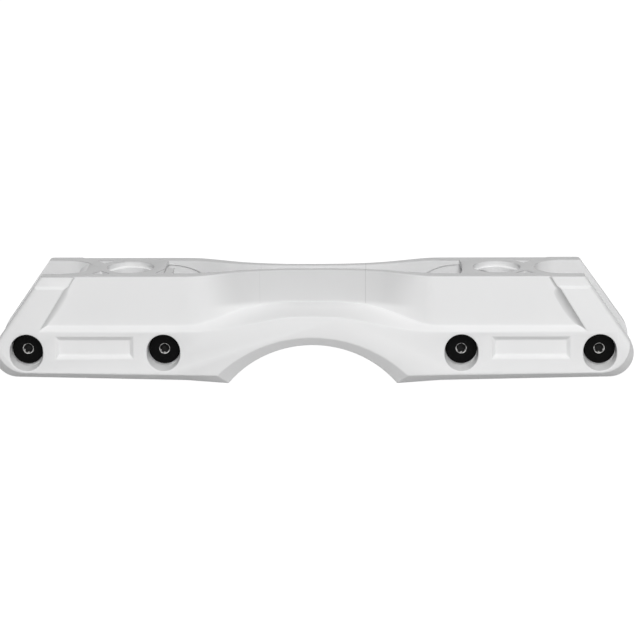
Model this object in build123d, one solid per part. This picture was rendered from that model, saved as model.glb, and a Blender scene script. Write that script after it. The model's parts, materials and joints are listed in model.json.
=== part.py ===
"""Four-wheel inline skate frame with four two-piece axles, without its wheels.

Millimetres. X runs along the frame, Y across it, Z up. The origin is under the
middle of the frame, on the surface that the two feet of the arch stand on.
Depths are measured down from the boot deck, which is the top of the frame.
"""
from build123d import *
import os
from math import sqrt

os.makedirs("parts", exist_ok=True)

# Deck and side outline
frame_height = 49.1             # feet of the arch up to the boot deck
deck_half_length = 120.7        # middle to the end, on the deck
end_lean_share = 0.70           # how far the ends run out for each unit of depth
slab_half_width = 19.2          # where the lower bevels start
slab_nose_radius = 10.7
slab_end_depth = 46.0           # bottom of the slab beside the outer axles
slab_mid_depth = 47.6
rail_mid_x = 57.0               # where the bottom edge starts to drop to the feet
foot_half_spacing = 37.8        # middle to the tip of a foot
arch_depth = 31.4               # deck to the underside of the arch
face_nose_radius = 11.9
face_end_depth = 43.0           # bottom edge of the side face
face_mid_depth = 44.0
face_foot_depth = 44.2
face_foot_half_spacing = 42.5
face_arch_depth = 24.4

# Cross-section of the sides
post_top_half_width = 18.1      # end posts at the deck
post_draft_share = 0.09
post_step_depth = 4.4
post_step = 1.1                 # how far the lower post stands out past the upper
upper_end_round = 1.6           # rounding from the sides into the ends, on the upper post
lower_end_round = 2.5
rail_top_depth = 24.5
rail_top_half_width = 21.6
rail_bottom_half_width = 23.6

# Recessed side panels and the narrow waist
deck_half_width = 17.2
waist_half_width = 5.55
flare_half_length = 57.0        # the waist widens up to here on both sides
panel_draft_share = 0.09
post_length = 14.6              # end post, along the deck
post_lean_share = 0.517
ledge_waist_depth = 13.8        # ledge at the middle, in the inner guide plane
ledge_rail_depth = 18.9         # ledge at the middle, in the outer guide plane
guide_inner_half = 4.0
guide_outer_half = 26.0
flare_x_shares = (0.255, 0.55, 0.87)
flare_width_shares = (0.045, 0.30, 0.90)
ledge_x_shares = (0.25, 0.50, 0.70, 0.85)
ledge_inner_shares = (0.0, 0.0, 0.02, 0.34)
ledge_outer_shares = (0.09, 0.43, 0.68, 0.86)

# Wheels that the frame takes, and the space for them
axle_depth = 33.6
inner_axle_x = 66.4
outer_axle_reach = 7.1          # how far the outer axles lie past the end of the deck
wheel_radius = 30.0
wheel_clearance = 1.5
channel_half_width = 12.5
boss_height = 0.5
boss_radius = 5.8

# Opening in the deck between the inner wheels
opening_end_run = 9.0           # straight sides of the opening past the flare
opening_half_width = 12.0
opening_waist_half = 2.7
opening_end_bulge = 1.0
opening_depth = 27.0
web_width = 3.5                 # narrow bar left across one corner of the opening
web_reach = 10.5
web_thickness = 4.2
web_window_length = 4.0

# Boot bolt holes and deck windows
boot_hole_half_spacing = 82.5
boot_hole_radius = 9.5
boot_seat_radius = 10.5
boot_seat_depth = 2.7
boot_hole_depth = 24.0
window_hole_gap = 7.7           # middle of the bolt hole to the window
window_notch_gap = 0.7
window_apex_gap = 4.5
window_base_y = 12.2
window_apex_y = 6.8
window_depth = 27.0

# Notches in the ends of the deck, over the outer wheels
notch_wall = 6.5                # deck between the bolt seat and the notch
notch_half_width = 12.5
scoop_radius = 8.2

# Shallow recesses in the side faces, between the axles
recess_inner_gap = 13.4         # middle of an inner axle to the recess
recess_outer_gap = 13.1
recess_top_depth = 26.6
recess_bottom_depth = 36.7
recess_sink = 1.75

# Axles
seat_half_width = 14.3          # outside of the wall under an axle head
counterbore_radius = 7.45
counterbore_up = 0.35
counterbore_down = 1.1
axle_radius = 4.0
axle_bore_clearance = 0.05
head_radius = 7.0
head_height = 2.2
head_edge = 0.45
seat_clearance = 0.04
socket_width = 4.0
socket_depth = 2.7
socket_mouth_radius = 2.7
thread_radius = 2.95
thread_clearance = 0.05
thread_length = 15.0
thread_hole_spare = 2.0
collar_height = 0.8
collar_gap = 0.3
end_chamfer = 0.5

overrun = 6.0                   # cuts run this far past the surface they open


def below(depth):
    """Height of a place that lies this deep under the deck."""
    return frame_height - depth


axle_z = below(axle_depth)
outer_axle_x = deck_half_length + outer_axle_reach
post_edge_x = deck_half_length - post_length
opening_half_length = flare_half_length + opening_end_run
notch_x = boot_hole_half_spacing + boot_seat_radius + notch_wall
window_inner_x = boot_hole_half_spacing + window_hole_gap
window_outer_x = notch_x - window_notch_gap
window_apex_x = notch_x - window_apex_gap
recess_inner_x = inner_axle_x + recess_inner_gap
recess_outer_x = outer_axle_x - recess_outer_gap
well_radius = wheel_radius + wheel_clearance
axle_places = (-outer_axle_x, -inner_axle_x, inner_axle_x, outer_axle_x)
rail_draft = (rail_bottom_half_width - rail_top_half_width) / (face_foot_depth - rail_top_depth)
step_half_width = post_top_half_width + post_draft_share * post_step_depth
rail_run = rail_top_depth - post_step_depth - post_step
lower_post_draft = (rail_top_half_width - step_half_width - post_step) / rail_run


def rail_half_width(depth):
    """Half width of the side face of the rail at a depth."""
    return rail_top_half_width + rail_draft * (depth - rail_top_depth)


def side_wire(y, end_depth, mid_depth, foot_depth, foot_x, top_depth, nose_radius):
    """Outline of the frame seen from the side, as a wire at one Y."""
    slope = sqrt(1 + end_lean_share ** 2)
    out_x = 1 / slope
    out_z = end_lean_share / slope
    corner_x = deck_half_length + end_lean_share * end_depth
    centre_x = corner_x - nose_radius * (1 + out_z) / out_x
    centre_z = below(end_depth) + nose_radius
    half_turn = sqrt((1 + out_z) / 2)
    mid_x = sqrt((1 - out_z) / 2)

    def point(x, z):
        return Vector(x, y, z)

    def half(side):
        start = point(side * deck_half_length, below(0))
        leave = point(side * (centre_x + nose_radius * out_x), centre_z + nose_radius * out_z)
        round_mid = point(side * (centre_x + nose_radius * half_turn), centre_z - nose_radius * mid_x)
        land = point(side * centre_x, centre_z - nose_radius)
        bend = point(side * rail_mid_x, below(mid_depth))
        tip = point(side * foot_x, below(foot_depth))
        return start, leave, round_mid, land, bend, tip

    right = half(1)
    left = half(-1)
    edges = [Edge.make_line(left[0], right[0])]
    edges += [Edge.make_line(right[0], right[1])]
    edges += [Edge.make_three_point_arc(right[1], right[2], right[3])]
    edges += [Edge.make_line(right[3], right[4]), Edge.make_line(right[4], right[5])]
    edges += [Edge.make_three_point_arc(right[5], point(0, below(top_depth)), left[5])]
    edges += [Edge.make_line(left[5], left[4]), Edge.make_line(left[4], left[3])]
    edges += [Edge.make_three_point_arc(left[3], left[2], left[1])]
    edges += [Edge.make_line(left[1], left[0])]
    return Wire(edges)


def both_sides(solid):
    """A solid of the near side, with its mirror image on the far side."""
    return [solid, mirror(solid, about=Plane.XZ)]


def envelope():
    """Drafted cross-section of posts and rails, run along the whole frame."""
    top = post_top_half_width - post_draft_share * overrun
    half = [
        (-top, below(-overrun)),
        (-step_half_width, below(post_step_depth)),
        (-step_half_width - post_step, below(post_step_depth + post_step)),
        (-rail_top_half_width, below(rail_top_depth)),
        (-rail_half_width(frame_height + overrun), below(frame_height + overrun)),
    ]
    outline = half + [(-y, z) for y, z in reversed(half)]
    face = Plane.YZ * make_face(Polyline(*outline, close=True))
    return extrude(face, amount=deck_half_length + frame_height, both=True)


def end_round(side, radius, top_depth, bottom_depth, half_width, draft):
    """Corner to cut off, so that the near side rounds into one leaning end between two depths."""
    end_x = deck_half_length + end_lean_share * top_depth
    z = below(top_depth)
    turn = radius * sqrt(1 / 2)
    land = Vector(side * (end_x - radius), -half_width, z)
    middle = Vector(side * (end_x - radius + turn), -half_width + radius - turn, z)
    leave = Vector(side * end_x, -half_width + radius, z)
    past_end = Vector(side * (end_x + overrun), -half_width + radius, z)
    past_both = Vector(side * (end_x + overrun), -half_width - overrun, z)
    past_side = Vector(side * (end_x - radius), -half_width - overrun, z)
    outline = Wire([
        Edge.make_three_point_arc(land, middle, leave),
        Edge.make_line(leave, past_end),
        Edge.make_line(past_end, past_both),
        Edge.make_line(past_both, past_side),
        Edge.make_line(past_side, land),
    ])
    fall = Vector(side * end_lean_share, -draft, -1)
    return extrude(Face(outline), amount=(bottom_depth - top_depth) * fall.length, dir=fall.normalized())


def end_rounds():
    """Cuts that round both sides into both ends: a small radius above the step, a large one below."""
    above = post_top_half_width - post_draft_share * overrun
    lower = step_half_width + post_step - lower_post_draft * post_step
    cuts = []
    for side in (-1, 1):
        cuts += both_sides(end_round(side, upper_end_round, -overrun, post_step_depth, above, post_draft_share))
        cuts += both_sides(end_round(side, lower_end_round, post_step_depth, frame_height, lower, lower_post_draft))
    return cuts


def outer_shape():
    """The whole moulding as a block: slab, bevelled lower edges and drafted sides."""
    slab_wire = side_wire(-slab_half_width, slab_end_depth, slab_mid_depth, frame_height,
                          foot_half_spacing, arch_depth, slab_nose_radius)
    face_wire = side_wire(-rail_bottom_half_width, face_end_depth, face_mid_depth,
                          face_foot_depth, face_foot_half_spacing, face_arch_depth,
                          face_nose_radius)
    slab = extrude(Face(slab_wire), amount=2 * slab_half_width, dir=(0, 1, 0))
    bevelled = Solid.make_loft([slab_wire, face_wire], ruled=True)
    block = slab
    for side in both_sides(bevelled):
        block = block + side
    block = block & envelope()
    for cut in end_rounds():
        block = block - cut
    return block


def even_spline(points):
    """Smooth curve that is level at both ends and keeps pace with X, so that two of them match."""
    first = points[0].X
    length = points[-1].X - first
    paces = [(point.X - first) / length for point in points]
    level = Vector(length, 0, 0).normalized()
    return Edge.make_spline(points, tangents=[level, level], parameters=paces)


def flare_halves(middle, profile):
    """Two smooth edges, left then right, through mirrored points that meet in the middle."""
    right = [middle] + profile
    left = [Vector(-point.X, point.Y, point.Z) for point in reversed(right)]
    return [even_spline(left), even_spline(right)]


def hourglass_wire(half_length, waist, wide, z, bulge=0.0):
    """Closed plan outline with straight ends, narrow in the middle."""
    shares = list(zip(flare_x_shares, flare_width_shares)) + [(1, 1)]
    sides = []
    for hand in (-1, 1):
        profile = [Vector(x * flare_half_length, hand * (waist + (wide - waist) * w), z)
                   for x, w in shares]
        start = Vector(-half_length, hand * wide, z)
        end = Vector(half_length, hand * wide, z)
        halves = flare_halves(Vector(0, hand * waist, z), profile)
        leave = Edge.make_line(start, Vector(-flare_half_length, hand * wide, z))
        land = Edge.make_line(profile[-1], end)
        sides.append((start, end, [leave] + halves + [land]))
    (near_start, near_end, near), (far_start, far_end, far) = sides
    right = end_edge(near_end, far_end, half_length + bulge, z, bulge)
    left = end_edge(far_start, near_start, -half_length - bulge, z, bulge)
    return Wire(near + [right] + list(reversed(far)) + [left])


def end_edge(start, end, reach, z, bulge):
    """End of an hourglass outline: straight, or bowed outwards to its reach."""
    if bulge:
        return Edge.make_three_point_arc(start, Vector(reach, 0, z), end)
    return Edge.make_line(start, end)


def core():
    """What stays between the two side panels: an hourglass with drafted walls."""
    wires = []
    for depth in (-overrun, rail_top_depth + overrun):
        spread = panel_draft_share * depth
        wires.append(hourglass_wire(deck_half_length, waist_half_width + spread,
                                    deck_half_width + spread, below(depth)))
    return Solid.make_loft(wires, ruled=True)


def panel_wire(half_width):
    """Side view of the panel recess in one guide plane, seen at this half width."""
    straight = rail_top_depth + half_width - rail_top_half_width
    inner = half_width < rail_top_half_width
    middle = ledge_waist_depth if inner else ledge_rail_depth
    ledge_shares = ledge_inner_shares if inner else ledge_outer_shares
    shift = half_width - post_top_half_width

    def place(x, depth):
        return Vector(x, -half_width, below(depth))

    def edge_x(depth):
        return post_edge_x + post_lean_share * depth + shift

    shares = list(zip(ledge_x_shares, ledge_shares)) + [(1, 1)]
    profile = [place(x * flare_half_length, middle + (straight - middle) * s) for x, s in shares]
    left, right = flare_halves(place(0, middle), profile)
    corners = [place(-edge_x(-overrun), -overrun), place(-edge_x(straight), straight),
               place(edge_x(straight), straight), place(edge_x(-overrun), -overrun)]
    return Wire([
        Edge.make_line(corners[0], corners[1]),
        Edge.make_line(corners[1], place(-flare_half_length, straight)),
        left,
        right,
        Edge.make_line(profile[-1], corners[2]),
        Edge.make_line(corners[2], corners[3]),
        Edge.make_line(corners[3], corners[0]),
    ])


def panel_cuts():
    """The recesses that leave the posts, the rails and the ledge over the arch."""
    recess = Solid.make_loft([panel_wire(guide_inner_half), panel_wire(guide_outer_half)], ruled=True)
    return both_sides(recess - core())


def prism(points, top_depth, bottom_depth):
    """Upright prism on a plan outline of straight edges."""
    face = Plane.XY.offset(below(bottom_depth)) * make_face(Polyline(*points, close=True))
    return extrude(face, amount=bottom_depth - top_depth)


def wheel_wells():
    """Round clearance for each wheel, and the channel that joins them at the bottom."""
    cuts = []
    for x in axle_places:
        well = Cylinder(well_radius, 2 * channel_half_width, rotation=(90, 0, 0))
        cuts.append(Pos(x, 0, axle_z) * well)
    length = deck_half_length + frame_height - inner_axle_x
    for side in (-1, 1):
        channel = Box(length, 2 * channel_half_width, axle_z + overrun,
                      align=(Align.CENTER, Align.CENTER, Align.MAX))
        cuts.append(Pos(side * (inner_axle_x + length / 2), 0, axle_z) * channel)
    return cuts


def deck_opening():
    """Long opening that follows the waist, less the bar across one corner."""
    wire = hourglass_wire(opening_half_length, opening_waist_half, opening_half_width,
                          below(opening_depth), opening_end_bulge)
    hollow = extrude(Face(wire), amount=opening_depth + overrun, dir=(0, 0, 1))
    bar = Box(web_width, web_reach, web_thickness, align=(Align.MIN, Align.MIN, Align.MAX))
    corner = Pos(-opening_half_length, -opening_half_width, below(0)) * bar
    return hollow - corner


def web_window():
    """Small three-sided window in the deck beside the bar."""
    side_x = -opening_half_length - opening_end_bulge / 2
    wall_y = -opening_half_width
    points = [(side_x, wall_y), (side_x, wall_y + web_reach - web_thickness / 2),
              (side_x - web_window_length, wall_y)]
    return prism(points, -overrun, web_thickness + overrun)


def deck_windows():
    """Three-sided windows that leave an X of deck between hole and notch."""
    cuts = []
    for side in (-1, 1):
        for hand in (-1, 1):
            points = [(side * window_inner_x, hand * window_base_y),
                      (side * window_outer_x, hand * window_base_y),
                      (side * window_apex_x, hand * window_apex_y)]
            cuts.append(prism(points, -overrun, window_depth))
    return cuts


def boot_holes():
    """Round seats and through holes for the boot bolts."""
    cuts = []
    for side in (-1, 1):
        low = (Align.CENTER, Align.CENTER, Align.MIN)
        seat = Cylinder(boot_seat_radius, boot_seat_depth + overrun, align=low)
        hole = Cylinder(boot_hole_radius, boot_hole_depth + overrun, align=low)
        cuts.append(Pos(side * boot_hole_half_spacing, 0, below(boot_seat_depth)) * seat)
        cuts.append(Pos(side * boot_hole_half_spacing, 0, below(boot_hole_depth)) * hole)
    return cuts


def end_notch(side):
    """Round-ended notch in the deck over an outer wheel."""
    centre_x = notch_x + notch_half_width
    length = deck_half_length + frame_height - centre_x
    depth = axle_depth + overrun
    base = Pos(side * centre_x, 0, axle_z) * Cylinder(
        notch_half_width, depth, align=(Align.CENTER, Align.CENTER, Align.MIN))
    run = Pos(side * (centre_x + length / 2), 0, axle_z) * Box(
        length, 2 * notch_half_width, depth, align=(Align.CENTER, Align.CENTER, Align.MIN))
    return base + run


def scoop_sill():
    """What stays of the deck under the scooped end of the left notch."""
    width = 2 * (notch_half_width + overrun)
    roll = Pos(-notch_x, 0, below(scoop_radius)) * Cylinder(scoop_radius, width, rotation=(90, 0, 0))
    sill = Pos(-notch_x - scoop_radius, 0, below(scoop_radius)) * Box(
        scoop_radius + notch_half_width, width, axle_depth,
        align=(Align.MIN, Align.CENTER, Align.MAX))
    return roll + sill


def face_plane(x, depth):
    """Plane on the near side face of the rail, facing outwards."""
    y = -rail_half_width(depth)
    lean = sqrt(1 + rail_draft ** 2)
    outward = Vector(0, -1 / lean, rail_draft / lean)
    return Plane(origin=(x, y, below(depth)), x_dir=(1, 0, 0), z_dir=outward)


def face_recesses():
    """Shallow bevelled recesses between the axles, on both side faces."""
    cuts = []
    middle = (recess_top_depth + recess_bottom_depth) / 2
    length = recess_outer_x - recess_inner_x
    height = recess_bottom_depth - recess_top_depth
    for side in (-1, 1):
        plane = face_plane(side * (recess_inner_x + recess_outer_x) / 2, middle)
        mouth = plane.offset(recess_sink) * Rectangle(length + 2 * recess_sink, height + 2 * recess_sink)
        floor = plane.offset(-recess_sink) * Rectangle(length - 2 * recess_sink, height - 2 * recess_sink)
        cuts += both_sides(loft([mouth.face(), floor.face()], ruled=True))
    return cuts


def counterbores():
    """Tall round-ended pockets for the axle heads, and the axle bores."""
    cuts = []
    straight = counterbore_up + counterbore_down
    middle_z = axle_z + (counterbore_up - counterbore_down) / 2
    sketch = SlotCenterToCenter(straight, 2 * counterbore_radius, rotation=90)
    depth = rail_bottom_half_width + overrun - seat_half_width
    for x in axle_places:
        plane = Plane(origin=(x, -seat_half_width, middle_z), x_dir=(1, 0, 0), z_dir=(0, -1, 0))
        cuts += both_sides(extrude(plane * sketch, amount=depth))
        bore = Cylinder(axle_radius + axle_bore_clearance, 2 * rail_bottom_half_width, rotation=(90, 0, 0))
        cuts.append(Pos(x, 0, axle_z) * bore)
    return cuts


def bearing_bosses():
    """Low rings inside the channel that the wheel bearings run against."""
    rings = []
    for x in axle_places:
        ring = Pos(x, -channel_half_width + boss_height / 2, axle_z) * Cylinder(
            boss_radius, boss_height, rotation=(90, 0, 0))
        rings += both_sides(ring)
    return rings


def frame_body():
    """The one-piece moulding."""
    body = outer_shape()
    for cut in panel_cuts():
        body = body - cut
    body = body - deck_opening()
    body = body - web_window()
    for cut in wheel_wells() + deck_windows() + boot_holes() + face_recesses():
        body = body - cut
    body = body - end_notch(1)
    body = body - (end_notch(-1) - scoop_sill())
    for ring in bearing_bosses():
        body = body + ring
    for cut in counterbores():
        body = body - cut
    return body


def axle_head(bottom):
    """Flat round head with a broken edge and a six-sided key socket, pointing up."""
    head = Cylinder(head_radius, head_height, align=(Align.CENTER, Align.CENTER, Align.MIN))
    head = chamfer(head.edges().group_by(Axis.Z)[-1], head_edge)
    return Pos(0, 0, bottom) * head


def key_socket(top):
    """Six-sided socket with a countersunk mouth, to cut from a head's top face."""
    hexagon = RegularPolygon(socket_width / 2, 6, major_radius=False, rotation=30)
    hole = extrude(Plane.XY.offset(top - socket_depth) * hexagon, amount=socket_depth + overrun)
    mouth_depth = socket_mouth_radius - socket_width / 2
    mouth = Pos(0, 0, top) * Cone(socket_width / 2, socket_mouth_radius, mouth_depth,
                                  align=(Align.CENTER, Align.CENTER, Align.MAX))
    return hole + mouth


def axle_sleeve():
    """Barrel that the wheel turns on, with the far head; the head points up."""
    length = 2 * seat_half_width - collar_height - collar_gap
    barrel = Cylinder(axle_radius, length, align=(Align.CENTER, Align.CENTER, Align.MAX))
    barrel = chamfer(barrel.edges().group_by(Axis.Z)[0], end_chamfer)
    sleeve = barrel + axle_head(seat_clearance)
    sleeve = sleeve + Cylinder(axle_radius, seat_clearance, align=(Align.CENTER, Align.CENTER, Align.MIN))
    hole_depth = thread_length + thread_hole_spare
    hole = Pos(0, 0, -length) * Cylinder(thread_radius + thread_clearance, hole_depth,
                                         align=(Align.CENTER, Align.CENTER, Align.MIN))
    return sleeve - hole - key_socket(seat_clearance + head_height)


def axle_bolt():
    """Bolt that closes the axle: near head, collar and shank; the head points up."""
    low = (Align.CENTER, Align.CENTER, Align.MAX)
    collar = Cylinder(axle_radius, collar_height, align=low)
    shank = Cylinder(thread_radius, collar_height + collar_gap + thread_length, align=low)
    shank = chamfer(shank.edges().group_by(Axis.Z)[0], end_chamfer)
    neck = Cylinder(axle_radius, seat_clearance, align=(Align.CENTER, Align.CENTER, Align.MIN))
    bolt = axle_head(seat_clearance) + neck + collar + shank
    return bolt - key_socket(seat_clearance + head_height)


def write(shape, name):
    """Write one node as a STEP file."""
    shape.label = name
    export_step(shape, "parts/" + name + ".step")


write(frame_body(), "frame_body")
for number, x in enumerate(axle_places, start=1):
    far = Plane(origin=(x, seat_half_width, axle_z), x_dir=(1, 0, 0), z_dir=(0, 1, 0))
    near = Plane(origin=(x, -seat_half_width, axle_z), x_dir=(1, 0, 0), z_dir=(0, -1, 0))
    write(far * axle_sleeve(), "axle_sleeve_" + str(number))
    write(near * axle_bolt(), "axle_bolt_" + str(number))
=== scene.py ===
import bpy
import bmesh
import json
from math import cos, radians, sin
from mathutils import Matrix, Vector
from mathutils.bvhtree import BVHTree


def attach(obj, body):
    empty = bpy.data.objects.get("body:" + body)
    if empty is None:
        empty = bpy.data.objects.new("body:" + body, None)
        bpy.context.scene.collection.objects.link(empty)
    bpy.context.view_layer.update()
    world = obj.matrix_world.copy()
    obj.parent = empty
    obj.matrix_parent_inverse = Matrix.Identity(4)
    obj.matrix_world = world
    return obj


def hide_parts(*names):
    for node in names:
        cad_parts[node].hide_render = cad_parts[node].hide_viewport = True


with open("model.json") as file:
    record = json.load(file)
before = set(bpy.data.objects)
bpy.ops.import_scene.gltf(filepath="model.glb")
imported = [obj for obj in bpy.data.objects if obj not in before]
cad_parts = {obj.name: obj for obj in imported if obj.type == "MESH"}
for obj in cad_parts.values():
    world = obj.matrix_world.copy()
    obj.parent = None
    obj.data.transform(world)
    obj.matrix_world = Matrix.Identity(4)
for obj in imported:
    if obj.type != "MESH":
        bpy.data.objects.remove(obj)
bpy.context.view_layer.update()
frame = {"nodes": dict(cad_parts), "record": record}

scene = bpy.context.scene
MM = 0.001

# The photograph's view
PHOTO_SIZE = 640
VIEW_PITCH = radians(15.28)
VIEW_YAW = radians(1.93)
VIEW_ROLL = radians(-0.578)
VIEW_DISTANCE = 1.114
PIXELS_PER_METRE = 2220.6       # at the middle of the deck
DECK_PIXEL = Vector((313.05, 266.6))
SENSOR_MM = 36

# Softened edges of the moulding
MERGE_GAP = 0.001 * MM
FLAT_ANGLE = radians(0.3)       # faces this close to level with each other are joined first
EDGE_ANGLE = radians(24)        # an edge sharper than this is rounded over
EDGE_ROUND = 0.45 * MM
EDGE_STEPS = 3
EASE_SHARES = (0.5, 0.5) + (0.0,) * 7   # of a rounding that doesn't fit, left by each round of easing
EASE_REACH = 1.6 * MM           # from a misfit to the edges that it eases
MISFIT_GAP = 0.6 * EDGE_ROUND   # more than this off the CAD skin is a misfit
FOLDED = -0.2                   # so is a face whose normal agrees with the skin's by less
TINY_AREA = 1e-12

# Shading of the moulding
SKIN_GAP = 0.003 * MM           # a face is one of the CAD skin's own when it is this close
SKIN_MATCH = 0.998              # and its normal agrees with the skin's by more
STRIP_ANGLE = radians(46)       # most that two strips of one rounding differ

# Side panels and end posts, as in the CAD
PANEL_TOP_HALF = 17.2 * MM
PANEL_DRAFT = 0.09
POST_TOP_HALF = 18.1 * MM
POST_EDGE_X = 106.1 * MM
POST_LEAN = 0.517
POST_STEP_TOP = 4.4 * MM
POST_STEP = 1.1 * MM
POST_DRAFT = 0.1055             # of the post below its step

# Hollow fillets where they meet, wider at the front end
FILLET_REACH = {1: 6.0 * MM, -1: 3.8 * MM}
FILLET_LEAST = 1.3              # times the height from the panel to the post
FILLET_SHARES = (               # of that reach, at each depth in mm below the deck
    (0.6, 0.30), (4.4, 0.32), (5.6, 0.42), (6.6, 0.70), (8.0, 0.90), (10.0, 1.0),
    (15.0, 1.0), (18.0, 0.90), (20.5, 0.76), (22.5, 0.52), (24.0, 0.36),
)
FILLET_RINGS = 40
FILLET_POINTS = 10
FILLET_START = 0.32 * MM        # clear of the post's softened edge
FILLET_SINK = 0.01 * MM
FILLET_BACK = 0.5 * MM
# painted shade in the fillets, darkest by the post, at each end
FILLET_PAINTED_SHADE = {1: 0.34, -1: 0.22}

# White plastic: its tones are places on the noise and the colours there
CLOUD_SCALE = 22
CLOUD_DETAIL = 3
PLASTIC_DULL = (0.3, (0.868, 0.870, 0.872))
PLASTIC_CLEAN = (0.7, (0.888, 0.888, 0.890))
PLASTIC_ROUGHNESS = 0.55
PLASTIC_SPECULAR = 0.12
GRAIN_SCALE = 2600
GRAIN_DETAIL = 2
GRAIN_BUMP = 0.04
GRAIN_HEIGHT = 0.02 * MM

# Parting lines of the mould, each side of the arch, from the deck to the ledge
PARTING_X = 23.7 * MM
PARTING_WIDTH = 0.12 * MM
PARTING_LOW = 34.4 * MM
PARTING_SHADES = (0.06, 0.22)   # rear and front

# Painted shade: greyer plastic on the deck's top and on the waist's outer walls
DECK_PAINTED_SHADE = 0.27
DECK_SKIN = 0.45 * MM
WAIST_PAINTED_SHADE = 0.18
WAIST_SHADE_HALF = (10.0 * MM, 17.0 * MM)
WAIST_SHADE_LOW = (33.0 * MM, 36.0 * MM)
WAIST_SHADE_LENGTH = (44.0 * MM, 62.0 * MM)
WALL_MIDDLE = 4.1 * MM          # half way through the waist's wall, at the narrowest place
WALL_BEND = 3.23                # per metre, how that line bends outwards

# Black steel of the axles
SPECK_SCALE = 900
SPECK_DETAIL = 4
STEEL_DARK = (0.35, (0.0015, 0.0015, 0.0015))
STEEL_LIGHT = (0.75, (0.004, 0.004, 0.004))
# light colour of the socket's ring: worn steel and a painted glint
STEEL_WORN_AND_GLINT = (0.92, 0.91, 0.90, 1)
STEEL_ROUGHNESS = 0.45
STEEL_SPECULAR = 0.06
SPECK_BUMP = 0.15
SPECK_HEIGHT = 0.03 * MM
SOCKET_RING = (2.12 * MM, 2.42 * MM)
RING_SOFT = 0.08 * MM
SOCKET_WEAR_AND_GLINT = 0.02              # of the paint worn off inside the socket, which is also a painted glint there
WEAR_AND_GLINT_SPECKS = (0.35, 0.6)       # places on the noise where the worn steel and painted glint start and are whole
WEAR_AND_GLINT_LEAST = 0.35

# Studio
FLOOR_HALF = 6.0
FLOOR_WHITE = 0.56
FLOOR_SHARE = 0.12              # how much of the floor's light the camera sees
FLOOR_GLOW = 1.0
CAMERA_WHITE = 1.0
AMBIENT = 0.19
LAMP_DISTANCE = 1.3
LAMP_SIDE = 0.45
LAMPS = (                       # bearing and rise in degrees, power in watts, and seen in glossy faces
    ("key", 9, 36, 9.7, True),
    ("top", 9, 60, 2.2, True),
    ("back", 171, 13, 8.0, False),
)


def mount_place(name):
    """Where one of the frame's mounts is."""
    places = {mount["name"]: mount["pos_m"] for mount in frame["record"]["mounts"]}
    return places[name]


def frame_height():
    """Top of the boot deck above the ground."""
    return mount_place("boot_deck")[2]


def look_from(pitch, yaw):
    """Unit vector from the part towards a camera on its near side."""
    return Vector((sin(yaw) * cos(pitch), -cos(yaw) * cos(pitch), sin(pitch)))


def add_camera():
    """Camera at the photograph's angle, framed so that the deck falls on its pixels."""
    data = bpy.data.cameras.new("camera")
    camera = bpy.data.objects.new("camera", data)
    scene.collection.objects.link(camera)
    deck = Vector((0, 0, frame_height()))
    back = look_from(VIEW_PITCH, VIEW_YAW)
    level = Vector((cos(VIEW_YAW), sin(VIEW_YAW), 0))
    right = Matrix.Rotation(VIEW_ROLL, 3, back) @ level
    up = back.cross(right)
    focal_pixels = PIXELS_PER_METRE * VIEW_DISTANCE
    aside = (PHOTO_SIZE / 2 - DECK_PIXEL.x) / PIXELS_PER_METRE
    down = (DECK_PIXEL.y - PHOTO_SIZE / 2) / PIXELS_PER_METRE
    place = deck + back * VIEW_DISTANCE + right * aside + up * down
    camera.matrix_world = Matrix.Translation(place) @ Matrix((right, up, back)).transposed().to_4x4()
    data.sensor_width = SENSOR_MM
    data.sensor_height = SENSOR_MM
    data.sensor_fit = "HORIZONTAL"
    data.lens = SENSOR_MM * focal_pixels / PHOTO_SIZE
    data.dof.use_dof = False
    scene.camera = camera


def node_tree(owner):
    """Empty shader tree of a material or a world."""
    owner.use_nodes = True
    tree = owner.node_tree
    tree.nodes.clear()
    return tree


def add(tree, kind, **values):
    """Add one shader node and set its properties."""
    node = tree.nodes.new(kind)
    for name, value in values.items():
        setattr(node, name, value)
    return node


def math_node(tree, operation, first, second=None):
    """Add one Math node; each input is a socket or a number."""
    node = add(tree, "ShaderNodeMath", operation=operation)
    for socket, value in zip(node.inputs, (first, second)):
        if value is None:
            continue
        if isinstance(value, (int, float)):
            socket.default_value = value
        else:
            tree.links.new(value, socket)
    return node.outputs[0]


def product(tree, first, *others):
    """Values multiplied together."""
    total = first
    for other in others:
        total = math_node(tree, "MULTIPLY", total, other)
    return total


def ramp(tree, value, start, end, low=0, high=1):
    """Smooth change from one number to another as a value goes from its start to its end."""
    node = add(tree, "ShaderNodeMapRange", interpolation_type="SMOOTHSTEP")
    tree.links.new(value, node.inputs["Value"])
    for name, number in (("From Min", start), ("From Max", end), ("To Min", low), ("To Max", high)):
        node.inputs[name].default_value = number
    return node.outputs["Result"]


def band(tree, value, low, high, soft):
    """1 where a value lies between two limits, 0 outside them, with soft edges."""
    rise = ramp(tree, value, low - soft, low + soft)
    fall = ramp(tree, value, high + soft, high - soft)
    return product(tree, rise, fall)


def noise(tree, place, scale, detail):
    """Noise on a piece's own coordinates."""
    node = add(tree, "ShaderNodeTexNoise")
    node.inputs["Scale"].default_value = scale
    node.inputs["Detail"].default_value = detail
    tree.links.new(place, node.inputs["Vector"])
    return node.outputs["Fac"]


def two_tones(tree, value, first, second):
    """Colour between two tones, each a place on the value and the colour there."""
    node = add(tree, "ShaderNodeValToRGB")
    for element, (position, color) in zip(node.color_ramp.elements, (first, second)):
        element.position = position
        element.color = (*color, 1)
    tree.links.new(value, node.inputs["Fac"])
    return node.outputs["Color"]


def mixed(tree, share, color, other, blend="MIX"):
    """Colour with a share of another mixed in."""
    node = add(tree, "ShaderNodeMix", data_type="RGBA", blend_type=blend)
    tree.links.new(share, node.inputs["Factor"])
    tree.links.new(color, node.inputs["A"])
    node.inputs["B"].default_value = other
    return node.outputs["Result"]


def darkened(tree, share, color):
    """Colour with a share of its light taken away."""
    return mixed(tree, share, color, (0, 0, 0, 1), "MULTIPLY")


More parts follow.
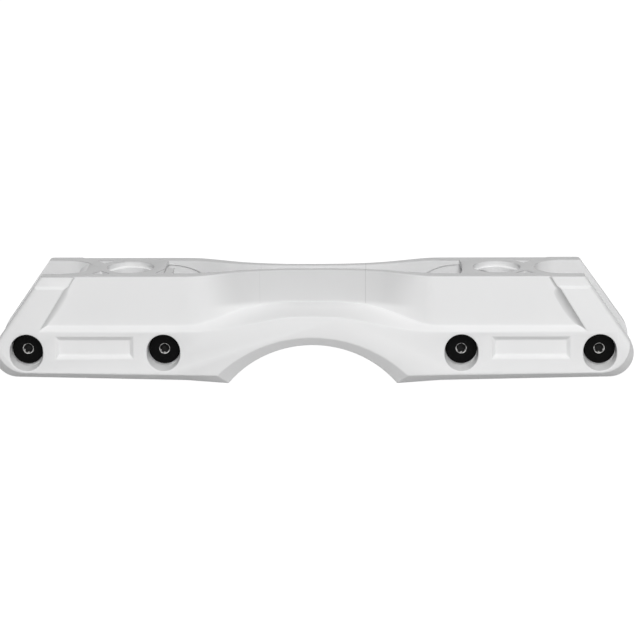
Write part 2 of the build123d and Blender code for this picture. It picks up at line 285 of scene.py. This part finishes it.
def roughened(tree, shader, height, strength, distance):
    """Give a shader a fine unevenness."""
    bump = add(tree, "ShaderNodeBump")
    bump.inputs["Strength"].default_value = strength
    bump.inputs["Distance"].default_value = distance
    tree.links.new(height, bump.inputs["Height"])
    tree.links.new(bump.outputs["Normal"], shader.inputs["Normal"])


def new_finish(name, roughness, specular):
    """Material of one shader, with its tree, the shader and the piece's own coordinates."""
    material = bpy.data.materials.new(name)
    tree = node_tree(material)
    result = add(tree, "ShaderNodeOutputMaterial")
    shader = add(tree, "ShaderNodeBsdfPrincipled")
    shader.inputs["Roughness"].default_value = roughness
    shader.inputs["Specular IOR Level"].default_value = specular
    tree.links.new(shader.outputs[0], result.inputs[0])
    place = add(tree, "ShaderNodeTexCoord").outputs["Object"]
    return material, tree, shader, place


def parting_lines(tree, along, away, height):
    """Shade of the two parting lines, deeper at the front."""
    line = band(tree, away, PARTING_X - PARTING_WIDTH, PARTING_X + PARTING_WIDTH, PARTING_WIDTH)
    above = math_node(tree, "GREATER_THAN", height, PARTING_LOW)
    return product(tree, line, above, ramp(tree, along, -PARTING_X, PARTING_X, *PARTING_SHADES))


def painted_deck_shade(tree, height):
    """Painted shade on the deck's top alone."""
    top = frame_height()
    return ramp(tree, height, top - DECK_SKIN, top - DECK_SKIN / 2, 0, DECK_PAINTED_SHADE)


def painted_waist_shade(tree, away, half, height):
    """Painted shade on the waist's walls, on their outer faces."""
    narrow = ramp(tree, half, *WAIST_SHADE_HALF, WAIST_PAINTED_SHADE, 0)
    upper = ramp(tree, height, *WAIST_SHADE_LOW)
    middle = ramp(tree, away, *WAIST_SHADE_LENGTH, 1, 0)
    wall = math_node(tree, "SUBTRACT", half, product(tree, away, away, WALL_BEND))
    outer = math_node(tree, "GREATER_THAN", wall, WALL_MIDDLE)
    return product(tree, narrow, upper, middle, outer)


def moulded_plastic():
    """White moulded plastic: satin, with a fine grain, parting lines and painted shade in places."""
    material, tree, shader, place = new_finish("moulded_plastic", PLASTIC_ROUGHNESS, PLASTIC_SPECULAR)
    apart = add(tree, "ShaderNodeSeparateXYZ")
    tree.links.new(place, apart.inputs[0])
    along, across, height = apart.outputs
    away = math_node(tree, "ABSOLUTE", along)
    half = math_node(tree, "ABSOLUTE", across)
    corner = add(tree, "ShaderNodeAttribute", attribute_name="painted_corner_shade").outputs["Fac"]
    # painted shade: the deck's top, the waist's outer walls and the fillets by the posts
    grey = math_node(tree, "MAXIMUM", painted_deck_shade(tree, height), painted_waist_shade(tree, away, half, height))
    grey = math_node(tree, "MAXIMUM", grey, corner)
    color = two_tones(tree, noise(tree, place, CLOUD_SCALE, CLOUD_DETAIL), PLASTIC_DULL, PLASTIC_CLEAN)
    color = darkened(tree, parting_lines(tree, along, away, height), color)
    color = darkened(tree, grey, color)
    tree.links.new(color, shader.inputs["Base Color"])
    roughened(tree, shader, noise(tree, place, GRAIN_SCALE, GRAIN_DETAIL), GRAIN_BUMP, GRAIN_HEIGHT)
    return material


def axle_distance(tree, place):
    """How far a point is from the middle line of the nearest axle."""
    inner, outer = mount_place("wheel_seat_3"), mount_place("wheel_seat_4")
    apart = add(tree, "ShaderNodeSeparateXYZ")
    tree.links.new(place, apart.inputs[0])
    away = math_node(tree, "ABSOLUTE", apart.outputs["X"])
    pair = math_node(tree, "ABSOLUTE", math_node(tree, "SUBTRACT", away, (inner[0] + outer[0]) / 2))
    aside = math_node(tree, "SUBTRACT", pair, (outer[0] - inner[0]) / 2)
    above = math_node(tree, "SUBTRACT", apart.outputs["Z"], inner[2])
    square = math_node(tree, "ADD", product(tree, aside, aside), product(tree, above, above))
    return math_node(tree, "SQRT", square)


def black_steel():
    """Black painted steel of the axles, with a light ring round the key socket that is worn steel and a
    painted glint.
    """
    material, tree, shader, place = new_finish("black_steel", STEEL_ROUGHNESS, STEEL_SPECULAR)
    speck = noise(tree, place, SPECK_SCALE, SPECK_DETAIL)
    distance = axle_distance(tree, place)
    ring = band(tree, distance, *SOCKET_RING, RING_SOFT)
    inside = product(tree, math_node(tree, "LESS_THAN", distance, SOCKET_RING[0]), SOCKET_WEAR_AND_GLINT)
    # worn steel and painted glint round the socket, fainter inside it
    bare_and_glint = math_node(tree, "MAXIMUM", ring, inside)
    wear_and_glint = product(tree, bare_and_glint, ramp(tree, speck, *WEAR_AND_GLINT_SPECKS, WEAR_AND_GLINT_LEAST, 1))
    paint = two_tones(tree, speck, STEEL_DARK, STEEL_LIGHT)
    tree.links.new(mixed(tree, wear_and_glint, paint, STEEL_WORN_AND_GLINT), shader.inputs["Base Color"])
    roughened(tree, shader, speck, SPECK_BUMP, SPECK_HEIGHT)
    return material


def give(piece, material):
    """Leave one material on a piece."""
    piece.data.materials.clear()
    piece.data.materials.append(material)


def dress_cad_nodes(plastic, steel):
    """Put the finishes on the CAD nodes."""
    for name, node in frame["nodes"].items():
        give(node, plastic if name == "frame_body" else steel)


def merged_copy(source, name):
    """Mesh of a CAD node as one closed skin with its flat faces whole, and that skin for measuring."""
    mesh = source.data.copy()
    mesh.name = name
    work = bmesh.new()
    work.from_mesh(mesh)
    bmesh.ops.remove_doubles(work, verts=work.verts, dist=MERGE_GAP)
    skin = BVHTree.FromBMesh(work)
    bmesh.ops.dissolve_limit(work, angle_limit=FLAT_ANGLE, verts=work.verts, edges=work.edges)
    work.to_mesh(mesh)
    work.free()
    return mesh, skin


def sharp_edges(mesh):
    """Edges to round over, each with its two ends."""
    work = bmesh.new()
    work.from_mesh(mesh)
    found = {edge.index: [vert.co.copy() for vert in edge.verts]
             for edge in work.edges if edge.calc_face_angle(0) > EDGE_ANGLE}
    work.free()
    return found


def misfits(mesh, skin):
    """Places where a rounding leaves the skin that it should follow, or folds over itself."""
    places = [vert.co.copy() for vert in mesh.vertices
              if skin.find_nearest(vert.co)[3] > MISFIT_GAP]
    mesh.calc_loop_triangles()
    for triangle in mesh.loop_triangles:
        if triangle.area > TINY_AREA:
            middle = sum((mesh.vertices[i].co for i in triangle.vertices), Vector()) / 3
            if skin.find_nearest(middle)[1].dot(triangle.normal) < FOLDED:
                places.append(middle)
    return places


def rounded(piece, weights):
    """The piece's mesh with its weighted edges rounded over and its flat faces kept flat."""
    marks = piece.data.attributes.get("bevel_weight_edge")
    if marks is None:
        marks = piece.data.attributes.new("bevel_weight_edge", "FLOAT", "EDGE")
    for index, weight in weights.items():
        marks.data[index].value = weight
        piece.data.edges[index].use_edge_sharp = weight == 0
    rounding = piece.modifiers.new("rounding", "BEVEL")
    rounding.width = EDGE_ROUND
    rounding.segments = EDGE_STEPS
    rounding.limit_method = "WEIGHT"
    rounding.use_clamp_overlap = False
    rounding.loop_slide = False
    rounding.miter_outer = "MITER_SHARP"
    graph = bpy.context.evaluated_depsgraph_get()
    mesh = bpy.data.meshes.new_from_object(piece.evaluated_get(graph))
    piece.modifiers.clear()
    return mesh


def near_edge(places, start, end):
    """Whether any of the places is close enough to an edge to ease it."""
    span = end - start
    middle = (start + end) / 2
    reach = EASE_REACH + span.length / 2
    for place in places:
        if (place - middle).length < reach:
            along = max(0.0, min(1.0, (place - start).dot(span) / span.length_squared))
            if (start + span * along - place).length < EASE_REACH:
                return True
    return False


def eased_rounding(piece, ends, skin):
    """The piece's mesh rounded over, with smaller roundings or none where they don't fit."""
    weights = {index: 1.0 for index in ends}
    fewest = None
    for share in EASE_SHARES:
        mesh = rounded(piece, weights)
        wrong = misfits(mesh, skin)
        if not wrong or len(wrong) == fewest:
            break
        fewest = len(wrong)
        for index, (start, end) in ends.items():
            if near_edge(wrong, start, end):
                weights[index] *= share
    return mesh


def corner_normal(own, nearby, kept, normals, areas):
    """Normal of one face at one corner: from the CAD faces round it, or else from the roundings."""
    total = Vector()
    for other in nearby:
        if kept[other] and normals[other].dot(own) > cos(EDGE_ANGLE):
            total += normals[other] * areas[other]
    if not total.length_squared:
        for other in nearby:
            if not kept[other] and normals[other].dot(own) > cos(STRIP_ANGLE):
                total += normals[other]
    return total.normalized() if total.length_squared else own


def even_shading(mesh, skin):
    """Smooth normals that leave the faces of the CAD skin as they are and blend only the roundings."""
    normals = [face.normal.copy() for face in mesh.polygons]
    areas = [face.area for face in mesh.polygons]
    kept = []
    around = [[] for _ in mesh.vertices]
    for face, normal in zip(mesh.polygons, normals):
        _, skin_normal, _, gap = skin.find_nearest(face.center)
        kept.append(gap < SKIN_GAP and skin_normal.dot(normal) > SKIN_MATCH)
        face.use_smooth = True
        for index in face.vertices:
            around[index].append(face.index)
    corners = [corner_normal(normal, around[index], kept, normals, areas)
               for face, normal in zip(mesh.polygons, normals) for index in face.vertices]
    mesh.normals_split_custom_set(corners)


def soft_edged_frame(plastic):
    """The moulding with its sharp edges rounded over, in place of the CAD node."""
    mesh, skin = merged_copy(frame["nodes"]["frame_body"], "frame_moulding")
    piece = bpy.data.objects.new("frame_moulding", mesh)
    scene.collection.objects.link(piece)
    piece.data = eased_rounding(piece, sharp_edges(mesh), skin)
    even_shading(piece.data, skin)
    give(piece, plastic)
    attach(piece, "frame")
    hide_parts("frame_body")


def between(table, value):
    """Straight-line reading of a table of pairs."""
    for (low, start), (high, end) in zip(table, table[1:]):
        if value <= high:
            break
    return start + (end - start) * (value - low) / (high - low)


def fillet_ring(end, hand, depth):
    """Level section of one fillet: a hollow curve from the post's edge to the panel, then a point behind."""
    panel = PANEL_TOP_HALF + PANEL_DRAFT * depth
    upper = POST_TOP_HALF + PANEL_DRAFT * min(depth, POST_STEP_TOP)
    step = min(max(depth - POST_STEP_TOP, 0), POST_STEP)
    post = upper + step + POST_DRAFT * max(depth - POST_STEP_TOP - POST_STEP, 0)
    edge = POST_EDGE_X + POST_LEAN * depth + post - POST_TOP_HALF
    height = post - panel
    reach = max(FILLET_REACH[end] * between(FILLET_SHARES, depth / MM), FILLET_LEAST * height)
    z = frame_height() - depth
    ring = []
    for number in range(FILLET_POINTS + 1):
        run = FILLET_START + (reach - FILLET_START) * number / FILLET_POINTS
        proud = (height + FILLET_SINK) * max(0, 1 - run / reach) ** (reach / height) - FILLET_SINK
        ring.append((end * (edge - run), hand * (panel + proud), z))
    ring.append((end * (edge - height), hand * (panel - FILLET_BACK), z))
    return ring


def add_fillet(work, shade, end, hand):
    """One fillet as a closed skin over its rings, with its painted shade fading away from the post."""
    low, high = FILLET_SHARES[0][0] * MM, FILLET_SHARES[-1][0] * MM
    rings = []
    for number in range(FILLET_RINGS + 1):
        depth = low + (high - low) * number / FILLET_RINGS
        rings.append([work.verts.new(point) for point in fillet_ring(end, hand, depth)])
        for place, vert in enumerate(rings[-1][:-1]):
            vert[shade] = FILLET_PAINTED_SHADE[end] * (1 - (place / FILLET_POINTS) ** 2)
    count = len(rings[0])
    for first, second in zip(rings, rings[1:]):
        for i in range(count):
            j = (i + 1) % count
            work.faces.new((first[i], first[j], second[j], second[i]))
    work.faces.new(rings[0])
    work.faces.new(rings[-1])


def panel_fillets(plastic):
    """The four hollow fillets, sunk into the moulding."""
    work = bmesh.new()
    shade = work.verts.layers.float.new("painted_corner_shade")
    for end in (1, -1):
        for hand in (-1, 1):
            add_fillet(work, shade, end, hand)
    bmesh.ops.recalc_face_normals(work, faces=work.faces)
    for face in work.faces:
        face.smooth = True
    for edge in work.edges:
        edge.smooth = edge.calc_face_angle(0) < EDGE_ANGLE
    mesh = bpy.data.meshes.new("panel_fillets")
    work.to_mesh(mesh)
    work.free()
    piece = bpy.data.objects.new("panel_fillets", mesh)
    scene.collection.objects.link(piece)
    give(piece, plastic)
    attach(piece, "frame")


def glowing(tree, kind, strength):
    """White light of one strength."""
    node = add(tree, kind)
    node.inputs["Color"].default_value = (1, 1, 1, 1)
    node.inputs["Strength"].default_value = strength
    return node


def matte(tree, white):
    """Matte surface of one grey."""
    node = add(tree, "ShaderNodeBsdfDiffuse")
    node.inputs["Color"].default_value = (white, white, white, 1)
    return node


def light_path_mix(tree, lit, shown):
    """Shader that is one thing for light and another for the camera and for reflections."""
    path = add(tree, "ShaderNodeLightPath")
    seen = math_node(tree, "MAXIMUM", path.outputs["Is Camera Ray"], path.outputs["Is Glossy Ray"])
    mix = add(tree, "ShaderNodeMixShader")
    tree.links.new(seen, mix.inputs[0])
    tree.links.new(lit.outputs[0], mix.inputs[1])
    tree.links.new(shown.outputs[0], mix.inputs[2])
    return mix


def add_world():
    """Even soft light from all round, on a white background."""
    world = bpy.data.worlds.new("studio")
    scene.world = world
    tree = node_tree(world)
    result = add(tree, "ShaderNodeOutputWorld")
    lit = glowing(tree, "ShaderNodeBackground", AMBIENT)
    shown = glowing(tree, "ShaderNodeBackground", CAMERA_WHITE)
    tree.links.new(light_path_mix(tree, lit, shown).outputs[0], result.inputs[0])


def pale_floor():
    """Pale matte floor that looks white and keeps some shade."""
    material = bpy.data.materials.new("pale_floor")
    tree = node_tree(material)
    result = add(tree, "ShaderNodeOutputMaterial")
    shown = add(tree, "ShaderNodeAddShader")
    tree.links.new(matte(tree, FLOOR_SHARE).outputs[0], shown.inputs[0])
    tree.links.new(glowing(tree, "ShaderNodeEmission", FLOOR_GLOW).outputs[0], shown.inputs[1])
    tree.links.new(light_path_mix(tree, matte(tree, FLOOR_WHITE), shown).outputs[0], result.inputs[0])
    return material


def add_floor():
    """Wide floor that keeps the part's shadow."""
    mesh = bpy.data.meshes.new("floor")
    half = FLOOR_HALF
    mesh.from_pydata([(-half, -half, 0), (half, -half, 0), (half, half, 0), (-half, half, 0)], [],
                     [(0, 1, 2, 3)])
    floor = bpy.data.objects.new("floor", mesh)
    scene.collection.objects.link(floor)
    give(floor, pale_floor())


def add_softbox(name, turn, rise, power, mirrored):
    """One square soft light, set round the middle of the part by its bearing and its rise."""
    data = bpy.data.lights.new(name, "AREA")
    data.shape = "SQUARE"
    data.size = LAMP_SIDE
    data.energy = power
    lamp = bpy.data.objects.new(name, data)
    away = look_from(radians(rise), radians(turn))
    lamp.location = Vector((0, 0, frame_height() / 2)) + away * LAMP_DISTANCE
    lamp.rotation_euler = away.to_track_quat("Z", "Y").to_euler()
    lamp.visible_glossy = mirrored
    scene.collection.objects.link(lamp)


add_camera()
plastic = moulded_plastic()
dress_cad_nodes(plastic, black_steel())
soft_edged_frame(plastic)
panel_fillets(plastic)
add_world()
add_floor()
for lamp in LAMPS:
    add_softbox(*lamp)
scene.view_settings.view_transform = "Standard"
